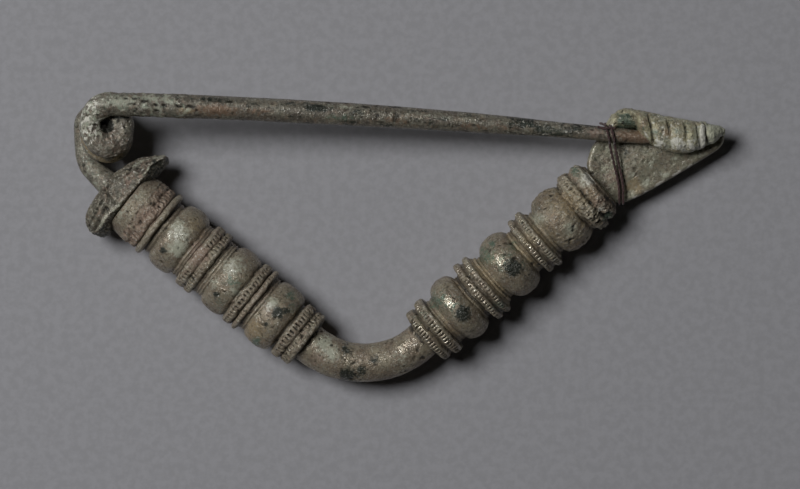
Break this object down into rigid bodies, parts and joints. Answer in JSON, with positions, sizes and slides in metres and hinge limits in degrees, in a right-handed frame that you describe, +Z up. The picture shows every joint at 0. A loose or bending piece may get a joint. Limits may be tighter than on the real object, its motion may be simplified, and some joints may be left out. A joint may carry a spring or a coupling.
{
  "type": "fibula brooch",
  "caption": "Ancient bronze triangular fibula brooch with beaded arms, coiled spring, long pin and a hand-shaped catch, lying flat.",
  "frame": {"origin": "middle of the underside of the whole brooch as it lies on its side", "axes": "+X runs along the pin from the coiled spring to the catch, +Y runs from the bow's elbow to the pin, +Z is up out of the surface that the brooch lies on"},
  "size_m": [0.09, 0.0398, 0.0125],
  "materials": {
    "bow_bronze": "dull olive-brown bronze patina, worn to a low shine on the beads",
    "pin_bronze": "brown bronze patina with green-grey and black crust",
    "thread": "matt red-brown twisted thread"
  },
  "bodies": {
    "root": {"bow": "bow_bronze", "pin_and_spring": "pin_bronze", "binding_thread": "thread"}
  },
  "joints": []
}
